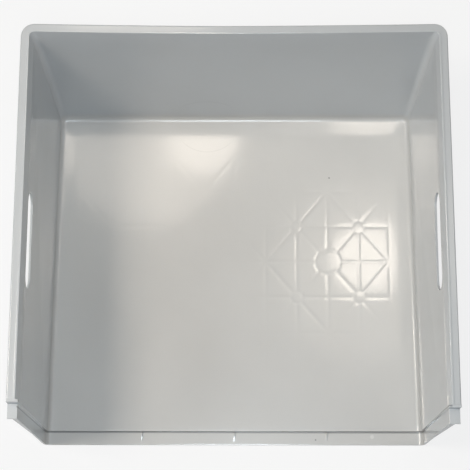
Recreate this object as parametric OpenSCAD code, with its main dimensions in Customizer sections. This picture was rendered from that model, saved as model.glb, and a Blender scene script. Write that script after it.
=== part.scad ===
// Fridge drawer body, moulded in one piece and open at the front.
// Millimetres. +X is the right side, +Y the back and +Z up.
// The origin is the middle of the overall outline, on the surface the drawer rests on.

/* [Overall] */
// Width over the outer edges of the rim
rim_width = 440; // [360:5:540]
// Depth from the front edge of the front frame to the back edge of the rim
depth = 422; // [340:2:500]
// Height from the resting surface to the top of the rim
height = 188; // [150:2:240]

/* [Walls and floor] */
// Thickness of the side walls and the back wall
wall_t = 2.2; // [1.6:0.1:3]
// Thickness of the floor
floor_t = 2.4; // [1.8:0.1:3]
// How far a side wall leans outwards over its height at the front
side_lean_front = 1.5; // [0:0.5:12]
// How far a side wall leans outwards over its height at the back
side_lean_back = 6; // [0:0.5:16]
// How far the back wall leans outwards over its height
back_lean = 33; // [4:1:50]
// How far the front edges of the side walls stand back at the rim
front_lean = 16; // [0:1:30]
// Inside radius of the two upright back corners
corner_r = 7; // [6:0.5:20]
// Inside radius between the floor and the walls
floor_fillet = 5; // [2:0.5:6]

/* [Rim] */
// Width of the rim from its inner edge to its outer face
flange_w = 9; // [7:0.5:16]
// Thickness of the rim
flange_t = 2.2; // [1.6:0.1:3]
// Inside radius of the rim at the two back corners
rim_corner_r = 5; // [3:0.5:12]
// Height of the lip that hangs from the outer edge of the rim
lip_h = 10; // [6:0.5:12]
// Thickness of the lip
lip_t = 1.8; // [1.2:0.1:2.4]
// Width of the raised bead along the inner edge of the rim
bead_w = 2; // [1.2:0.1:3]
// Height of the bead above the rim
bead_h = 0.8; // [0.3:0.1:1.4]
// Rounding of the outer edge of the rim
edge_r = 1.4; // [0.6:0.1:2]
// How far the top of each wall flares out to meet the rim
flare_w = 3.2; // [1:0.1:5]
// Height of the flare
flare_h = 10; // [6:0.5:14]
// Thickness of the bar that closes each front end of the rim
bar_t = 2.8; // [1.6:0.1:4]

/* [Front frame] */
// Width of the frame that seats the front panel
frame_w = 14.5; // [8:0.5:24]
// Step from the side walls out to the frame
step_w = 2.2; // [1.2:0.1:3]
// Drop from the top of the rim to the ledges of the frame
ledge_drop = 10; // [8:0.5:16]
// Thickness of the ledges
ledge_t = 2.2; // [1.6:0.1:3]
// Number of gussets across the frame
gusset_count = 3; // [1:1:5]
// Distance between gussets
gusset_pitch = 102.5; // [40:0.5:120]
// Thickness of a gusset
gusset_t = 1.6; // [1:0.1:3]
// Distance from the tip of a gusset to the front edge of the frame
gusset_gap = 3; // [0.5:0.5:6]
// Distance from the top of a gusset up to the floor
gusset_drop = 0.8; // [0:0.1:1]
// How far each upright front edge stands out under its ledge
edge_rib_w = 3; // [1:0.1:4]
// Thickness of that edge from front to back
edge_rib_t = 2.4; // [1.4:0.1:4]
// Height at which that edge begins to stand out
edge_rib_foot = 52; // [30:1:80]

/* [Hand slots] */
// Length of the slot in each side wall
slot_l = 100; // [60:1:140]
// Height of the slot
slot_h = 26; // [18:1:34]
// Drop from the top of the rim to the upper edge of the slot
slot_drop = 14; // [14:0.5:30]
// Distance from the foot of the front step to the middle of the slot
slot_y = 183; // [110:1:230]

/* [Ribs under the floor] */
// Height of the ribs, which is also the step from the floor down to the frame
rib_h = 4; // [2:0.1:6]
// Thickness of the ribs
rib_t = 1.4; // [1:0.1:2.4]
// Distance between the ribs from side to side
rib_pitch_x = 35.4; // [30:0.2:37]
// Distance between the ribs from front to back
rib_pitch_y = 41; // [34:0.5:46]
// Distance from the foot of the front step to the middle row of ribs
rib_y = 191; // [160:1:200]
// Least distance from the ribs to the walls and to the front step
rib_margin = 20; // [12:1:30]
// Outer diameter of the two large rings
ring_d = 30; // [22:0.5:34]
// Outer diameter of the small rings
ring_small_d = 15.5; // [10:0.5:20]
// Thickness of the rings
ring_t = 2; // [1.2:0.1:3]

/* [Hidden] */

// Facets of a quarter circle in plan and of the fillet at the floor
corner_n = 10;
fillet_n = 8;
// Smallest radius that a corner keeps where a fillet eats into it
least_r = 0.5;
// How far cutting shapes run past the surfaces that they cut
past = 40;
// How far a small feature reaches into the wall that carries it
sink = 0.6;

// Levels above the resting surface, on which the ribs and the frame both stand
z_under = rib_h;
z_floor = rib_h + floor_t;
z_flare = height - flare_h;
z_flange = height - bead_h;
z_ledge = height - ledge_drop;

// The front leans back by this much for each millimetre of height
lean = front_lean / (height - z_floor);
// The front step meets the floor at this place
y_step = frame_w + lean * z_floor - depth / 2;
// Back edge of the rim, and the back wall at the foot of the flare and at the floor
rim_back = depth / 2;
back_top = rim_back - flange_w - flare_w;
back_floor = back_top - back_lean;
// Half widths inside the walls at the foot of the flare and at the floor
half_top = rim_width / 2 - flange_w - flare_w;
half_floor_front = half_top - side_lean_front;
half_floor_back = half_top - side_lean_back;
// Ribs: whole bays each side of the middle, and forwards and backwards from the middle row
rib_cols = floor((half_floor_back - rib_margin) / rib_pitch_x);
rows_front = floor((rib_y - rib_margin) / rib_pitch_y);
rows_back = floor((back_floor - y_step - rib_y - rib_margin) / rib_pitch_y);
rib_y0 = y_step + rib_y;
// Bays from the middle to each large ring
ring_bay_n = 3;
slot_z = height - slot_drop - slot_h / 2;
slot_y0 = y_step + slot_y;

// Share of the wall height at a level, from 0 at the floor to 1 at the foot of the flare
function share(z) = (z - z_floor) / (z_flare - z_floor);

// Half width at the front at a level, moved out from the inner faces of the walls by off
function half_front(z, off) = half_floor_front + side_lean_front * share(z) + off;

// Outline in plan at a level, moved out from the inner faces of the walls by off.
// It runs past the front, and its two back corners have radius r.
function outline(z, off, r) =
    let (s = share(z),
         front = half_front(z, off),
         back = half_floor_back + side_lean_back * s + off,
         yb = back_floor + back_lean * s + off,
         yf = y_step - past,
         slope = (front - back) / (yb - y_step),
         side = back + slope * r)
    [[front + slope * past, yf],
     for (i = [0 : corner_n])
         let (a = 90 * i / corner_n) [side - r + r * cos(a), yb - r + r * sin(a)],
     for (i = [0 : corner_n])
         let (a = 90 + 90 * i / corner_n) [r - side + r * cos(a), yb - r + r * sin(a)],
     [-front - slope * past, yf]];

// Outline in plan of the rim, moved in from its outer face
function rim_outline(inset) =
    let (half = rim_width / 2 - inset,
         yb = rim_back - inset,
         r = rim_corner_r + flange_w - inset,
         yf = y_step - past)
    [[half, yf],
     for (i = [0 : corner_n])
         let (a = 90 * i / corner_n) [half - r + r * cos(a), yb - r + r * sin(a)],
     for (i = [0 : corner_n])
         let (a = 90 + 90 * i / corner_n) [r - half + r * cos(a), yb - r + r * sin(a)],
     [-half, yf]];

// Solid through a stack of outlines, given as pairs of a level and an outline
module loft(stack) {
    n = len(stack[0][1]);
    levels = len(stack);
    points = [for (s = stack) for (p = s[1]) [p[0], p[1], s[0]]];
    sides = [for (k = [0 : levels - 2]) for (i = [0 : n - 1])
        let (j = (i + 1) % n, a = k * n + i, b = k * n + j)
        each [[a, a + n, b], [b, a + n, b + n]]];
    bottom = [[for (i = [0 : n - 1]) i]];
    top = [[for (i = [n - 1 : -1 : 0]) (levels - 1) * n + i]];
    polyhedron(points = points, faces = concat(sides, bottom, top), convexity = 6);
}

// Stack of the lower part of a tub that starts at level z0 with a fillet of radius r
function filleted(z0, off, r) =
    [for (i = [0 : fillet_n])
        let (a = 90 * i / fillet_n, inset = r * (1 - sin(a)), z = z0 + r * (1 - cos(a)))
        [z, outline(z, off - inset, max(corner_r + off - inset, least_r))]];

// Space inside the drawer, with the flare at the rim
module inside() {
    loft(concat(
        filleted(z_floor, 0, floor_fillet),
        [[z_flare, outline(z_flare, 0, corner_r)],
         [height, rim_outline(flange_w)],
         [height + past, rim_outline(flange_w)]]));
}

// The same space with the walls carried straight up, for the ends of the rim
module inside_plain() {
    loft(concat(
        filleted(z_floor, 0, floor_fillet),
        [[z_flare, outline(z_flare, 0, corner_r)],
         [height + past, outline(height + past, 0, corner_r)]]));
}

// Outer skin of the walls and the floor
module outside() {
    loft(concat(
        filleted(z_under, wall_t, floor_fillet + wall_t),
        [[z_flare - wall_t / 2, outline(z_flare - wall_t / 2, wall_t, corner_r + wall_t)],
         [z_flange - flange_t / 2, rim_outline(flange_w - wall_t)]]));
}

// Everything behind a plane parallel to the leaning front, y behind the step at the floor
module behind(y) {
    size = 3 * max(rim_width, depth);
    translate([0, y_step + y, z_floor])
        rotate([-atan(lean), 0, 0])
            translate([-size / 2, 0, -size / 2])
                cube(size);
}

// Slice of its children between two planes parallel to the front
module slice(y0, y1) {
    difference() {
        intersection() {
            children();
            behind(y0);
        }
        behind(y1);
    }
}

// Flat rim with a rounded outer edge, a bead along its inner edge and a lip
module rim() {
    loft(concat(
        [[z_flange - flange_t, rim_outline(0)]],
        [for (i = [0 : fillet_n])
            let (a = 90 * i / fillet_n)
            [z_flange - edge_r * (1 - sin(a)), rim_outline(edge_r * (1 - cos(a)))]]));
    translate([0, 0, z_flange - flange_t / 2])
        linear_extrude(height = bead_h + flange_t / 2)
            polygon(rim_outline(flange_w - bead_w));
    translate([0, 0, height - lip_h])
        linear_extrude(height = lip_h - bead_h - flange_t / 2)
            difference() {
                polygon(rim_outline(0));
                polygon(rim_outline(lip_t));
            }
}

// Walls, floor and rim behind the front step
module tub() {
    intersection() {
        difference() {
            union() {
                outside();
                rim();
            }
            inside();
        }
        behind(0);
    }
}

// Outer and inner skins of the front frame, up to its ledges
module frame_outside() {
    loft(concat(
        filleted(0, step_w + wall_t, floor_fillet + wall_t),
        [[z_ledge, outline(z_ledge, step_w + wall_t, corner_r + step_w + wall_t)]]));
}

module frame_inside() {
    loft(concat(
        filleted(floor_t, step_w, floor_fillet),
        [[z_ledge + past, outline(z_ledge + past, step_w, corner_r + step_w)]]));
}

// Ledges that carry the frame out to the width of the rim
module ledges() {
    slice(-frame_w, bar_t)
        difference() {
            translate([0, 0, z_ledge - ledge_t])
                linear_extrude(height = ledge_t)
                    polygon(rim_outline(0));
            frame_inside();
        }
}

// Bars that close the front ends of the rim
module end_bars() {
    slice(0, bar_t)
        difference() {
            translate([0, 0, z_ledge - ledge_t])
                linear_extrude(height = height - z_ledge + ledge_t)
                    polygon(rim_outline(0));
            inside_plain();
        }
}

// Upright front edges, which stand out more and more towards the ledges
module edge_ribs() {
    foot = half_front(edge_rib_foot, step_w + wall_t - sink);
    head = half_front(z_ledge, step_w + wall_t - sink);
    tip = head + sink + edge_rib_w;
    slice(-frame_w, edge_rib_t - frame_w)
        for (side = [0, 1])
            mirror([side, 0, 0])
                translate([0, depth / 2, 0])
                    rotate([90, 0, 0])
                        linear_extrude(height = depth + past)
                            polygon([[foot, edge_rib_foot],
                                     [tip, z_ledge - sink],
                                     [head, z_ledge - sink]]);
}

// Frame in front of the step, with the riser that joins it to the tub
module front_frame() {
    difference() {
        slice(-frame_w, wall_t)
            frame_outside();
        slice(-frame_w - past, 0)
            frame_inside();
        inside_plain();
    }
    ledges();
    end_bars();
    edge_ribs();
}

// Small triangles between the step and the frame
module gussets() {
    reach = frame_w - gusset_gap;
    top = z_floor - gusset_drop;
    for (i = [0 : gusset_count - 1])
        translate([(i - (gusset_count - 1) / 2) * gusset_pitch - gusset_t / 2, y_step, 0])
            rotate([90, 0, 90])
                linear_extrude(height = gusset_t)
                    polygon([[sink, floor_t - sink],
                             [sink, top],
                             [0, top],
                             [-reach, floor_t],
                             [-reach, floor_t - sink]]);
}

// A ring at a crossing of the ribs
module ring(c, d) {
    translate([c[0] * rib_pitch_x, rib_y0 + c[1] * rib_pitch_y, 0])
        difference() {
            cylinder(h = rib_h + sink, d = d, $fn = 64);
            translate([0, 0, -rib_h])
                cylinder(h = 2 * rib_h, d = d - 2 * ring_t, $fn = 64);
        }
}

// Space inside a ring, cut from the ribs that meet it
module ring_space(c, d) {
    translate([c[0] * rib_pitch_x, rib_y0 + c[1] * rib_pitch_y, -rib_h])
        cylinder(h = 2 * rib_h, d = d - ring_t, $fn = 64);
}

// Places of the large rings and of the four small rings round each
large_rings = [for (side = [-1, 1]) [side * ring_bay_n, 0]];
small_rings = [for (c = large_rings) for (dx = [-1, 1]) for (dy = [-1, 1]) [c[0] + dx, dy]];

// One straight rib through a crossing of the middle row, at an angle from the X axis
module rib(col, angle, length) {
    translate([col * rib_pitch_x, rib_y0, 0])
        rotate([0, 0, angle])
            translate([-length / 2, -rib_t / 2, 0])
                cube([length, rib_t, rib_h + sink]);
}

// Square and diagonal ribs, cut off where the field of whole bays ends
module rib_field() {
    size_x = 2 * rib_cols * rib_pitch_x + rib_t;
    size_y = (rows_front + rows_back) * rib_pitch_y + rib_t;
    diagonal = atan2(rib_pitch_y, rib_pitch_x);
    long = 2 * (size_x + size_y);
    bays = rib_cols + rows_front + rows_back;
    intersection() {
        union() {
            for (i = [-rib_cols : rib_cols])
                rib(i, 90, long);
            for (j = [-rows_front : rows_back])
                translate([0, j * rib_pitch_y, 0])
                    rib(0, 0, long);
            for (i = [-bays : bays])
                if ((i + ring_bay_n) % 2 == 0)
                    for (turn = [-diagonal, diagonal])
                        rib(i, turn, long);
        }
        translate([-size_x / 2, rib_y0 - rows_front * rib_pitch_y - rib_t / 2, 0])
            cube([size_x, size_y, rib_h + sink]);
    }
}

// Ribs under the floor, with rings where the floor is fed
module floor_ribs() {
    difference() {
        rib_field();
        for (c = large_rings)
            ring_space(c, ring_d);
        for (c = small_rings)
            ring_space(c, ring_small_d);
    }
    for (c = large_rings)
        ring(c, ring_d);
    for (c = small_rings)
        ring(c, ring_small_d);
}

// Round-ended slot through both side walls
module hand_slots() {
    reach = (slot_l - slot_h) / 2;
    for (end = [-reach, reach])
        translate([-rim_width / 2, slot_y0 + end, slot_z])
            rotate([0, 90, 0])
                cylinder(h = rim_width, d = slot_h, $fn = 64);
    translate([-rim_width / 2, slot_y0 - reach, slot_z - slot_h / 2])
        cube([rim_width, 2 * reach, slot_h]);
}

module drawer_body() {
    color([0.80, 0.82, 0.83])
        difference() {
            union() {
                tub();
                front_frame();
                gussets();
                floor_ribs();
            }
            hand_slots();
        }
}

drawer_body();
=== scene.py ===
"""Looks of a moulded fridge drawer body: its surfaces, finish, stage, lights and camera."""

import math

import bmesh
import bpy
import numpy as np
from mathutils import Matrix, Vector, noise


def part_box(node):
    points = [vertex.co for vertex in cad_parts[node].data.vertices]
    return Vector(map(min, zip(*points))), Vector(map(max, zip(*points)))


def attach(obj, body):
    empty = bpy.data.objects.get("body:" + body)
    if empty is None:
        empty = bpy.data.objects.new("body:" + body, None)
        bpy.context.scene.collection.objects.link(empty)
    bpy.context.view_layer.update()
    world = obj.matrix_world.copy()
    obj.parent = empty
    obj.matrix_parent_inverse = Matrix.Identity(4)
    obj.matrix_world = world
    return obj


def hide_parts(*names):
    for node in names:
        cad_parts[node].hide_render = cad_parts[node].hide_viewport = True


# Everything below is in millimetres, apart from what Blender is given, which is in metres
MM = 0.001
NODE = "drawer_body"

# Sizes of the moulding, as in the part's source
WALL_T = 2.2
FLOOR_T = 2.4
RIB_H = 4.0
FRAME_W = 14.5
FRONT_LEAN = 16.0
SLOT_L = 100.0
SLOT_H = 26.0
SLOT_DROP = 14.0
SLOT_Y = 183.0
RIB_PITCH_X = 35.4
RIB_PITCH_Y = 41.0
RIB_Y = 191.0
RIB_COLS = 5
RIB_ROWS_FRONT = 4
RIB_ROWS_BACK = 3
RING_BAYS = 3
RING_D = 30.0
RING_SMALL_D = 15.5
RING_T = 2.0

# Sizes of the finer shapes that only the looks need
EDGE_R = 0.28
EDGE_STEPS = 2
SHARP_ANGLE = 35
SMOOTH_ANGLE = 32
WELD = 0.2
ARC_CUTS = 3
STRIP_STEP = 22.0
FLOOR_STEP = 1.45
FLOOR_BAND = 4.0
SINK_DEPTH = 0.12
SINK_WIDTH = 1.6
CLEAR_REACH = 64.0
FAINT = 0.15
BOW = 2.6
SKEW = 2.4
WAVE_HEIGHT = 0.25
WAVE_LENGTH = 95.0
WAVE_SEED = 7
RIPPLE_HEIGHT = 0.05
RIPPLE_LENGTH = 38.0

# Finish: colour of the plastic and the painted warm light on its floor, then the painted dark edge of a
# reflection and the painted shade along the step line
PLASTIC = (0.655, 0.675, 0.69)
WARM_LIGHT_TINT = (0.705, 0.69, 0.665)
WARM_LIGHT_REACH = 14.0
REFLECTION_EDGE_DEPTH = 0.22
REFLECTION_EDGE_FADE = 14.0
STEP_LINE = 2.2
STEP_SHADE = 0.5
STEP_EDGE = 0.3
STEP_SOLID = 1.2
BAR_OUT = 10.0
BAR_IN = 8.0

# Marks of use, and the painted dark edge of a reflection: x and the distance behind the step line, then
# radius
SPECK_AT = (109.2, 289.7)
SPECK_R = 1.3
DOT_AT = (90.2, -9.3)
DOT_R = 1.2
SCUFF_AT = (152.8, -5.9)
SCUFF_R = 3.0
SCUFF_GAIN = 0.18
REFLECTION_EDGE_AT = (-32.0, 361.0)
REFLECTION_EDGE_R = 40.0
REFLECTION_EDGE_WIDTH = 1.1
REFLECTION_EDGE_LOW_X = -68.0
REFLECTION_EDGE_HIGH_X = 3.0
MARK_SHADE = 0.42

# Gloss and relief: scales are in turns per metre
SLOW_SCALE = 9.0
DUST_SCALE = 900.0
HAZE_SCALE = 22.0
PEEL_SCALE = 170.0
PEEL_HEIGHT = 0.006
ROUGH_LOW = 0.29
ROUGH_HIGH = 0.35
PLASTIC_IOR = 1.59
COAT_IOR = 1.5
COAT_ROUGHNESS = 0.09

# Colour sockets of a Mix node: its two inputs and its output
MIX_A = 6
MIX_B = 7
MIX_RESULT = 2

# Stage and light
GROUND_REACH = 3000.0
GROUND_LIFT = 0.8
SKY = 0.06
SKY_GLOSS = 0.10
LAMP_DISTANCE = 2000.0

# Camera, from the fit to the photograph, and its frame in pixels
CAMERA_AT = (6.0, -267.0, 1369.9)
CAMERA_TILT = 12.14
CAMERA_YAW = 1.07
CAMERA_ROLL = -1.0
FOCAL_PX = 1217.6
FRAME_PX = 470.0
SENSOR = 36.0


def smooth_step(value, low, high):
    """0 below low, 1 above high and an even curve between them."""
    t = np.clip((value - low) / (high - low), 0.0, 1.0)
    return t * t * (3.0 - 2.0 * t)


class Drawer:
    """Levels and places of the moulding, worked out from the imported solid's box."""

    def __init__(self):
        low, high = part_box(NODE)
        self.half_x = high.x / MM
        self.half_y = high.y / MM
        self.top = high.z / MM
        self.floor = RIB_H + FLOOR_T
        self.lean = FRONT_LEAN / (self.top - self.floor)
        self.y_step = FRAME_W + self.lean * self.floor - self.half_y
        self.rib_y0 = self.y_step + RIB_Y
        self.slot_y0 = self.y_step + SLOT_Y
        self.slot_z = self.top - SLOT_DROP - SLOT_H / 2

    def rings(self):
        """Centre and diameter of each ring under the floor."""
        for side in (-RING_BAYS, RING_BAYS):
            yield side * RIB_PITCH_X, self.rib_y0, RING_D
            for dx in (-1, 1):
                for dy in (-1, 1):
                    yield (side + dx) * RIB_PITCH_X, self.rib_y0 + dy * RIB_PITCH_Y, RING_SMALL_D


def mark_profile(distance):
    """Depth of a sink mark at a distance from the middle of the rib below it."""
    return np.exp(-((distance / SINK_WIDTH) ** 2))


def sink_marks(drawer, x, y):
    """Depth of the marks that the ribs and rings leave in the floor above them."""
    u = x / RIB_PITCH_X
    v = (y - drawer.rib_y0) / RIB_PITCH_Y
    across = np.abs(u - np.round(u)) * RIB_PITCH_X
    along = np.abs(v - np.round(v)) * RIB_PITCH_Y
    slant = math.hypot(1 / RIB_PITCH_X, 1 / RIB_PITCH_Y)
    depth = np.maximum(mark_profile(across), mark_profile(along))
    for sign in (-1, 1):
        k = (u + sign * v - RING_BAYS) / 2
        depth = np.maximum(depth, mark_profile(2 * np.abs(k - np.round(k)) / slant))
    field_x = RIB_COLS * RIB_PITCH_X
    inside = smooth_step(-np.abs(x), -field_x - SINK_WIDTH, -field_x)
    inside *= smooth_step(v, -RIB_ROWS_FRONT - SINK_WIDTH / RIB_PITCH_Y, -RIB_ROWS_FRONT)
    inside *= smooth_step(-v, -RIB_ROWS_BACK - SINK_WIDTH / RIB_PITCH_Y, -RIB_ROWS_BACK)
    depth = depth * inside
    for ring_x, ring_y, diameter in drawer.rings():
        radius = np.hypot(x - ring_x, y - ring_y)
        middle = (diameter - RING_T) / 2
        outside = smooth_step(radius, middle - RING_T / 2, middle)
        depth = np.maximum(depth * outside, mark_profile(radius - middle))
    from_ring = np.hypot(x - RING_BAYS * RIB_PITCH_X, y - drawer.rib_y0)
    clear = 1.0 - (1.0 - FAINT) * smooth_step(from_ring, CLEAR_REACH, 1.5 * CLEAR_REACH)
    return depth * SINK_DEPTH * clear


def warp(drawer, points):
    """The moulding's real form: its back rim bows in, its front leans a little askew and its walls wave."""
    x, y, z = points.T
    height = np.clip((z - drawer.floor) / (drawer.top - drawer.floor), 0.0, 1.0)
    towards_back = smooth_step(y, 0.3 * drawer.half_y, 0.95 * drawer.half_y)
    bow = BOW * (1 - (x / drawer.half_x) ** 2) * height ** 1.5 * towards_back
    towards_front = smooth_step(-y, 0.0, 0.9 * drawer.half_y)
    skew = SKEW * (x / drawer.half_x) * height * towards_front
    moved = points.copy()
    moved[:, 1] -= bow + skew
    noise.seed_set(WAVE_SEED)
    waves = np.array([noise.noise_vector(Vector(p) / WAVE_LENGTH) for p in points]) * WAVE_HEIGHT
    moved[:, :2] += waves[:, :2] * height[:, None]
    limit = np.array([drawer.half_x, drawer.half_y, drawer.top])
    return np.clip(moved, (-limit[0], -limit[1], 0.0), limit)


def subdivide_slot_ends(mesh, drawer):
    """Makes the round ends of the hand slots finer and puts their points on true arcs."""
    reach = (SLOT_L - SLOT_H) / 2
    radius = SLOT_H / 2

    def from_arc(point):
        y = point.y / MM - drawer.slot_y0
        z = point.z / MM - drawer.slot_z
        centre = math.copysign(reach, y)
        return Vector((y - centre, z)), centre

    def end_of(point):
        """The centre of the round end that a point lies on, or None."""
        offset, centre = from_arc(point)
        beyond = offset.x * centre > -0.05 * reach
        if beyond and abs(point.x / MM) > drawer.half_x / 2 and abs(offset.length - radius) < 0.1:
            return centre
        return None

    def is_arc(edge):
        first, second = (end_of(v.co) for v in edge.verts)
        across = abs(edge.verts[0].co.x - edge.verts[1].co.x) / MM
        return first is not None and first == second and across < WALL_T / 2

    arcs = [e for e in mesh.edges if is_arc(e)]
    cut = bmesh.ops.subdivide_edges(mesh, edges=arcs, cuts=ARC_CUTS)
    for item in cut["geom_inner"]:
        if isinstance(item, bmesh.types.BMVert):
            offset, centre = from_arc(item.co)
            offset *= radius / offset.length
            item.co.y = (drawer.slot_y0 + centre + offset.x) * MM
            item.co.z = (drawer.slot_z + offset.y) * MM


def round_edges(mesh):
    """Rounds every sharp edge that has room for it."""
    sharp = [e for e in mesh.edges if e.calc_face_angle(0) > math.radians(SHARP_ANGLE)]
    bmesh.ops.bevel(mesh, geom=sharp, offset=EDGE_R * MM, offset_type="OFFSET",
                    segments=EDGE_STEPS, profile=0.5, affect="EDGES", clamp_overlap=False)


def floor_face(mesh, drawer):
    """The flat face of the floor inside the drawer."""
    flat = [f for f in mesh.faces
            if f.normal.z > 0.9999 and abs(f.calc_center_median().z / MM - drawer.floor) < 0.02]
    return max(flat, key=lambda f: f.calc_area())


def cut_strips(mesh, drawer):
    """Cuts the long faces, apart from the floor inside, into strips, so that they can bend."""
    for axis, reach in ((0, drawer.half_x), (1, drawer.half_y), (2, drawer.top)):
        normal = Vector((0, 0, 0))
        normal[axis] = 1
        start = STRIP_STEP / 2 - STRIP_STEP * math.ceil(reach / STRIP_STEP)
        for place in np.arange(start, reach, STRIP_STEP):
            whole = floor_face(mesh, drawer)
            geom = mesh.verts[:] + mesh.edges[:] + [f for f in mesh.faces if f is not whole]
            bmesh.ops.bisect_plane(mesh, geom=geom, dist=1e-7, plane_no=normal,
                                   plane_co=normal * place * MM)


def lay_floor(mesh, drawer):
    """Replaces the flat floor face by a fine grid, joined to the face's own outline."""
    face = floor_face(mesh, drawer)
    outline = list(face.edges)
    corners = [v.co / MM for v in face.verts]
    bmesh.ops.delete(mesh, geom=[face], context="FACES_ONLY")
    y_low = min(c.y for c in corners) + FLOOR_BAND
    y_high = max(c.y for c in corners) - FLOOR_BAND
    x_reach = min(abs(c.x) for c in corners if y_low < c.y < y_high) - FLOOR_BAND
    xs = np.linspace(-x_reach, x_reach, round(2 * x_reach / FLOOR_STEP) + 1)
    ys = np.linspace(y_low, y_high, round((y_high - y_low) / FLOOR_STEP) + 1)
    z = drawer.floor * MM
    grid = [[mesh.verts.new((x * MM, y * MM, z)) for x in xs] for y in ys]
    for low, high in zip(grid, grid[1:]):
        for i in range(len(xs) - 1):
            mesh.faces.new((low[i], low[i + 1], high[i + 1], high[i]))
    rim = [e for row in (grid[0], grid[-1]) for pair in zip(row, row[1:]) for e in pair[0].link_edges
           if e.other_vert(pair[0]) is pair[1]]
    columns = [[row[i] for row in grid] for i in (0, -1)]
    rim += [e for column in columns for pair in zip(column, column[1:]) for e in pair[0].link_edges
            if e.other_vert(pair[0]) is pair[1]]
    bmesh.ops.triangle_fill(mesh, edges=outline + rim, use_beauty=True, normal=(0, 0, 1))


def shaped_body(cad, drawer):
    """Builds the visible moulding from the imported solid."""
    mesh = bmesh.new()
    mesh.from_mesh(cad.data)
    bmesh.ops.remove_doubles(mesh, verts=mesh.verts, dist=0.01 * MM)
    bmesh.ops.dissolve_limit(mesh, angle_limit=math.radians(0.3), verts=mesh.verts, edges=mesh.edges)
    bmesh.ops.remove_doubles(mesh, verts=mesh.verts, dist=WELD * MM)
    subdivide_slot_ends(mesh, drawer)
    round_edges(mesh)
    cut_strips(mesh, drawer)
    lay_floor(mesh, drawer)
    points = np.array([v.co for v in mesh.verts]) / MM
    moved = warp(drawer, points)
    marks = sink_marks(drawer, points[:, 0], points[:, 1])
    on_floor = np.abs(points[:, 2] - drawer.floor) < 0.01
    ripples = np.array([noise.noise(Vector(p) / RIPPLE_LENGTH) for p in points[on_floor]]) * RIPPLE_HEIGHT
    moved[on_floor, 2] -= marks[on_floor] + ripples
    for vert, co in zip(mesh.verts, moved):
        vert.co = Vector(co) * MM
    bmesh.ops.recalc_face_normals(mesh, faces=mesh.faces)
    data = bpy.data.meshes.new("moulded_body")
    mesh.to_mesh(data)
    mesh.free()
    data.shade_smooth()
    data.set_sharp_from_angle(angle=math.radians(SMOOTH_ANGLE))
    body = bpy.data.objects.new("moulded_body", data)
    bpy.context.scene.collection.objects.link(body)
    weigh_normals(body)
    return body


def weigh_normals(body):
    """Keeps the large faces flat and lets the small ones between them carry the turn."""
    weigher = body.modifiers.new("weigh_normals", "WEIGHTED_NORMAL")
    weigher.keep_sharp = True
    weigher.weight = 50
    with bpy.context.temp_override(object=body, active_object=body, selected_objects=[body]):
        bpy.ops.object.modifier_apply(modifier=weigher.name)


class Nodes:
    """Short calls that add and link shader nodes."""

    def __init__(self, owner):
        owner.use_nodes = True
        self.tree = owner.node_tree

    def add(self, kind, values=None, **settings):
        """A node of a kind with its settings, and with its inputs set to values or linked to sockets."""
        node = self.tree.nodes.new("ShaderNode" + kind)
        for name, setting in settings.items():
            setattr(node, name, setting)
        for key, value in (values or {}).items():
            if isinstance(value, bpy.types.NodeSocket):
                self.tree.links.new(value, node.inputs[key])
            else:
                node.inputs[key].default_value = value
        return node

    def math(self, operation, first, second=0.0, third=0.0):
        values = {0: first, 1: second, 2: third}
        return self.add("Math", values, operation=operation).outputs[0]

    def fade(self, value, low, high, at_low, at_high):
        """A number that goes smoothly from at_low to at_high while value goes from low to high."""
        values = {"Value": value, "From Min": low, "From Max": high, "To Min": at_low, "To Max": at_high}
        return self.add("MapRange", values, interpolation_type="SMOOTHSTEP").outputs["Result"]

    def noise(self, place, scale, detail=2.0, roughness=0.5):
        values = {"Vector": place, "Scale": scale, "Detail": detail, "Roughness": roughness}
        return self.add("TexNoise", values).outputs["Fac"]

    def stretched(self, place, stretch, turn=0.0):
        """Coordinates scaled along each axis and turned round Z."""
        values = {"Vector": place, "Scale": stretch, "Rotation": (0, 0, math.radians(turn))}
        return self.add("Mapping", values).outputs["Vector"]

    def link(self, output, node, name):
        self.tree.links.new(output, node.inputs[name])


def spot(nodes, place, centre, radius):
    """1 in the middle of a round mark and 0 outside it."""
    gap = nodes.add("VectorMath", {0: place, 1: Vector(centre) * MM}, operation="DISTANCE").outputs["Value"]
    return nodes.fade(gap, 0.4 * radius * MM, radius * MM, 1.0, 0.0)


def arc_mark(nodes, place, centre, radius, width, low_x, high_x):
    """1 along the part of a circle between two values of x, and 0 away from it."""
    gap = nodes.add("VectorMath", {0: place, 1: Vector(centre) * MM}, operation="DISTANCE").outputs["Value"]
    off = nodes.math("ABSOLUTE", nodes.math("SUBTRACT", gap, radius * MM))
    line = nodes.fade(off, 0.2 * width * MM, width * MM, 1.0, 0.0)
    x = nodes.add("SeparateXYZ", {"Vector": place}).outputs["X"]
    start = nodes.fade(x, low_x * MM, (low_x + REFLECTION_EDGE_FADE) * MM, 0.0, 1.0)
    stop = nodes.fade(x, (high_x - REFLECTION_EDGE_FADE) * MM, high_x * MM, 1.0, 0.0)
    return nodes.math("MULTIPLY", line, nodes.math("MULTIPLY", start, stop))


def step_shade_mask(nodes, place, drawer):
    """1 in the painted shade of the corner along the foot of the step, on the strip and up the frame's
    sides, else 0.
    """
    axes = nodes.add("SeparateXYZ", {"Vector": place}).outputs
    y_foot = (drawer.y_step - drawer.lean * drawer.floor) * MM
    step = nodes.math("MULTIPLY_ADD", axes["Z"], drawer.lean, y_foot)
    front = nodes.math("SUBTRACT", step, axes["Y"])
    starts = nodes.fade(front, -STEP_EDGE * MM, STEP_EDGE * MM, 0.0, 1.0)
    ends = nodes.fade(front, STEP_SOLID * MM, STEP_LINE * MM, 1.0, 0.0)
    from_middle = nodes.math("ABSOLUTE", axes["X"])
    bar_start = (drawer.half_x - BAR_OUT) * MM
    bar_end = (drawer.half_x - BAR_IN) * MM
    inner = nodes.fade(from_middle, bar_start, bar_end, 1.0, 0.0)
    return nodes.math("MULTIPLY", nodes.math("MULTIPLY", starts, ends), inner)


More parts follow.
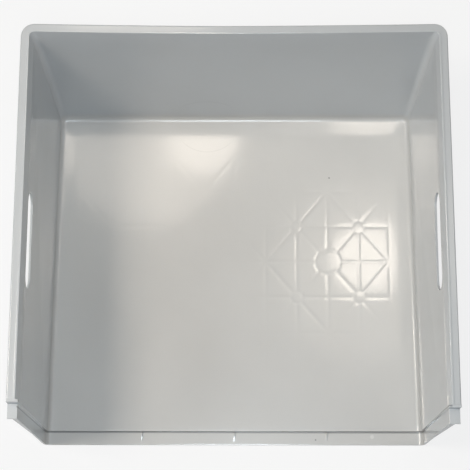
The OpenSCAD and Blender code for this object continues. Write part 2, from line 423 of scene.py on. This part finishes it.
def plastic(drawer):
    """Pale grey, glossy, slightly milky plastic, with the marks of use, painted shade along the step,
    painted warm light on the floor and a painted reflection edge.
    """
    material = bpy.data.materials.new("polystyrene")
    nodes = Nodes(material)
    shader = nodes.tree.nodes["Principled BSDF"]
    place = nodes.add("TexCoord").outputs["Object"]

    # Marks: one dark speck on the floor, a dark dot and a pale scuff on the front strip, and a faint dark
    # arc on the floor that is a painted edge of a reflection
    floor = drawer.floor
    y0 = drawer.y_step
    speck = spot(nodes, place, (SPECK_AT[0], y0 + SPECK_AT[1], floor), SPECK_R)
    dot = spot(nodes, place, (DOT_AT[0], y0 + DOT_AT[1], FLOOR_T), DOT_R)
    scuff = spot(nodes, place, (SCUFF_AT[0], y0 + SCUFF_AT[1], FLOOR_T), SCUFF_R)
    # Painted reflection: a faint dark arc on the floor, the edge of a blurred reflection, painted into the
    # colour
    reflection_edge_at = (REFLECTION_EDGE_AT[0], y0 + REFLECTION_EDGE_AT[1], floor)
    reflection_edge = arc_mark(nodes, place, reflection_edge_at, REFLECTION_EDGE_R, REFLECTION_EDGE_WIDTH, REFLECTION_EDGE_LOW_X, REFLECTION_EDGE_HIGH_X)
    dark = nodes.math("MAXIMUM", speck, dot)
    dark = nodes.math("MAXIMUM", dark, nodes.math("MULTIPLY", reflection_edge, REFLECTION_EDGE_DEPTH))

    # Colour: slow unevenness of the milky plastic and fine dust in it
    slow = nodes.fade(nodes.noise(place, SLOW_SCALE, 3.0), 0.25, 0.75, 0.975, 1.02)
    dust = nodes.fade(nodes.noise(place, DUST_SCALE, 2.0), 0.45, 0.8, 1.0, 0.98)
    shade = nodes.math("MULTIPLY", slow, dust)
    # Painted shade: a darker line in the corner at the foot of the step, on the strip and up the frame's
    # sides
    painted_step_shade = nodes.fade(step_shade_mask(nodes, place, drawer), 0.0, 1.0, 1.0, STEP_SHADE)
    shade = nodes.math("MULTIPLY", shade, painted_step_shade)
    shade = nodes.math("MULTIPLY", shade, nodes.fade(dark, 0.0, 1.0, 1.0, MARK_SHADE))
    shade = nodes.math("ADD", shade, nodes.math("MULTIPLY", scuff, SCUFF_GAIN))
    # Painted light: the floor and the foot of the walls take a warmer colour, standing in for warm light
    # falling from above
    height = nodes.add("SeparateXYZ", {"Vector": place}).outputs["Z"]
    warm_light = nodes.fade(height, floor * MM, (floor + WARM_LIGHT_REACH) * MM, 1.0, 0.0)
    values = {"Factor": warm_light, MIX_A: (*PLASTIC, 1), MIX_B: (*WARM_LIGHT_TINT, 1)}
    tint = nodes.add("Mix", values, data_type="RGBA").outputs[MIX_RESULT]
    tint = nodes.add("VectorMath", {0: tint, "Scale": shade}, operation="SCALE").outputs["Vector"]
    nodes.link(tint, shader, "Base Color")

    # Gloss: slow hazy patches from wiping
    haze = nodes.noise(nodes.stretched(place, (1.0, 0.35, 1.0), 24.0), HAZE_SCALE, 3.0)
    nodes.link(nodes.fade(haze, 0.3, 0.75, ROUGH_LOW, ROUGH_HIGH), shader, "Roughness")
    shader.inputs["IOR"].default_value = PLASTIC_IOR
    shader.inputs["Coat Weight"].default_value = 1.0
    shader.inputs["Coat Roughness"].default_value = COAT_ROUGHNESS
    shader.inputs["Coat IOR"].default_value = COAT_IOR

    # Relief: the slight orange peel of a moulded skin
    peel = nodes.noise(place, PEEL_SCALE, 2.0)
    bump = nodes.add("Bump", {"Height": peel, "Strength": 1.0, "Distance": PEEL_HEIGHT * MM})
    nodes.link(bump.outputs["Normal"], shader, "Normal")
    nodes.link(bump.outputs["Normal"], shader, "Coat Normal")
    return material


def make_camera():
    data = bpy.data.cameras.new("camera")
    data.sensor_width = SENSOR
    data.lens = FOCAL_PX / FRAME_PX * SENSOR
    data.clip_start = 0.05
    data.clip_end = 20
    camera = bpy.data.objects.new("camera", data)
    camera.matrix_world = (
        Matrix.Translation(Vector(CAMERA_AT) * MM)
        @ Matrix.Rotation(math.radians(CAMERA_YAW), 4, "Z")
        @ Matrix.Rotation(math.radians(CAMERA_TILT), 4, "X")
        @ Matrix.Rotation(math.radians(CAMERA_ROLL), 4, "Z")
    )
    bpy.context.scene.collection.objects.link(camera)
    bpy.context.scene.camera = camera


def make_ground():
    """A plain pale floor: white to the camera, but it keeps the drawer's shadow."""
    data = bpy.data.meshes.new("ground")
    reach = GROUND_REACH * MM
    corners = [(-reach, -reach, 0), (reach, -reach, 0), (reach, reach, 0), (-reach, reach, 0)]
    data.from_pydata(corners, [], [(0, 1, 2, 3)])
    ground = bpy.data.objects.new("ground", data)
    bpy.context.scene.collection.objects.link(ground)
    material = bpy.data.materials.new("ground")
    nodes = Nodes(material)
    nodes.tree.nodes.remove(nodes.tree.nodes["Principled BSDF"])
    rays = nodes.add("LightPath").outputs
    matt = nodes.add("BsdfDiffuse", {"Color": (0.86, 0.86, 0.86, 1)})
    glow = nodes.add("Emission", {"Color": (1, 1, 1, 1), "Strength": 1.0})
    seen = nodes.math("MULTIPLY", rays["Is Camera Ray"], GROUND_LIFT)
    values = {0: seen, 1: matt.outputs[0], 2: glow.outputs[0]}
    mixed = nodes.add("MixShader", values)
    nodes.link(mixed.outputs[0], nodes.tree.nodes["Material Output"], "Surface")
    data.materials.append(material)


def make_world():
    """A dim, even sky that looks white to the camera and pale in the plastic's gloss."""
    world = bpy.data.worlds.new("world")
    bpy.context.scene.world = world
    nodes = Nodes(world)
    rays = nodes.add("LightPath").outputs
    glossy = nodes.math("MAXIMUM", rays["Is Glossy Ray"], rays["Is Transmission Ray"])
    strength = nodes.math("MULTIPLY_ADD", glossy, SKY_GLOSS - SKY, SKY)
    strength = nodes.math("MAXIMUM", strength, rays["Is Camera Ray"])
    background = nodes.tree.nodes["Background"]
    background.inputs["Color"].default_value = (1, 1, 1, 1)
    nodes.link(strength, background, "Strength")


def make_lamp(name, at, target, size, watts, colour):
    """A soft disc lamp that faces a target; places and size in millimetres."""
    data = bpy.data.lights.new(name, "AREA")
    data.shape = "DISK"
    data.size = size * MM
    data.energy = watts
    data.color = colour
    lamp = bpy.data.objects.new(name, data)
    lamp.location = Vector(at) * MM
    lamp.rotation_euler = (Vector(target) - Vector(at)).to_track_quat("-Z", "Y").to_euler()
    lamp.visible_camera = False
    bpy.context.scene.collection.objects.link(lamp)


def around(azimuth, elevation, distance=LAMP_DISTANCE):
    """A place at a direction from the drawer: azimuth from +X towards +Y, both angles in degrees."""
    turn, rise = math.radians(azimuth), math.radians(elevation)
    flat = distance * math.cos(rise)
    return flat * math.cos(turn), flat * math.sin(turn), distance * math.sin(rise)


def make_lights(drawer):
    make_world()
    middle = (0.0, 0.0, 0.0)
    warm = (1.0, 0.91, 0.80)
    cool = (0.80, 0.91, 1.0)
    make_lamp("front", around(270, 76), middle, 500, 11.2, cool)
    make_lamp("left", around(180, 60), middle, 500, 12.2, warm)
    make_lamp("left_low", around(180, 40), middle, 500, 3.4, cool)
    make_lamp("right", around(0, 60), middle, 500, 0.9, warm)
    make_lamp("right_back", around(45, 76), middle, 500, 0.8, warm)
    make_lamp("back", around(110, 68), middle, 500, 1.8, warm)
    # Lamps that show as the soft glares on the floor
    make_lamp("glare_right", (311, 295, 1506), (151, 1, drawer.floor), 170, 0.65, warm)
    make_lamp("glare_back", (-80, 592, 1506), (-35, 144, drawer.floor), 180, 0.45, warm)
    make_lamp("glare_left", (-440, 287, 1506), (-190, -3, drawer.floor), 60, 0.05, warm)


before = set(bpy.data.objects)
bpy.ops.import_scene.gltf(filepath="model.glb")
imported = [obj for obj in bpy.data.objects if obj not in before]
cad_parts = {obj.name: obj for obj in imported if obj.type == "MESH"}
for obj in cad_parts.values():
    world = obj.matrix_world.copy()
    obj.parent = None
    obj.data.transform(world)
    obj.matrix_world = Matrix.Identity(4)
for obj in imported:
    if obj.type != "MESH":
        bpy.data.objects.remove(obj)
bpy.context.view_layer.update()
drawer = Drawer()
body = shaped_body(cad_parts[NODE], drawer)
body.data.materials.append(plastic(drawer))
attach(body, "root")
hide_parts(NODE)
make_camera()
make_ground()
make_lights(drawer)
bpy.context.scene.view_settings.view_transform = "Standard"
